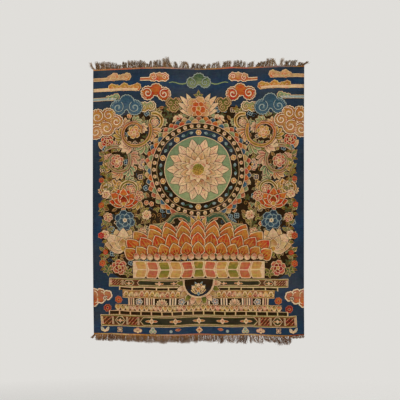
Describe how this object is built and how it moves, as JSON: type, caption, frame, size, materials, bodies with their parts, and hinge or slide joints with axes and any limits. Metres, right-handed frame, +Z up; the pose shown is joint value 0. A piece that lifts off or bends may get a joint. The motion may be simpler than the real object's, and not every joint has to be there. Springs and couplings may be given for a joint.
{
  "type": "woven silk thangka",
  "caption": "Silk tapestry hanging, nearly flat, with a navy ground and a woven lotus design, and raw warp fringes standing at its top edge and hanging at its bottom edge.",
  "frame": {"origin": "middle of the woven cloth's top edge, in the middle of its thickness", "axes": "+Z up along the warp, +X to the right along the weft as seen from the front, -Y out of the cloth's face"},
  "size_m": [0.8272, 0.0243, 1.0995],
  "materials": {
    "woven_silk": "silk tapestry weave, slit and interlocked, soft low sheen, aged",
    "top_warp_ends": "loose raw silk warp ends, brown taupe, matt",
    "bottom_warp_ends": "loose raw silk warp ends, brown to grey taupe, matt"
  },
  "bodies": {
    "root": {"woven_panel": "woven_silk", "top_fringe": "top_warp_ends", "bottom_fringe": "bottom_warp_ends"}
  },
  "joints": []
}
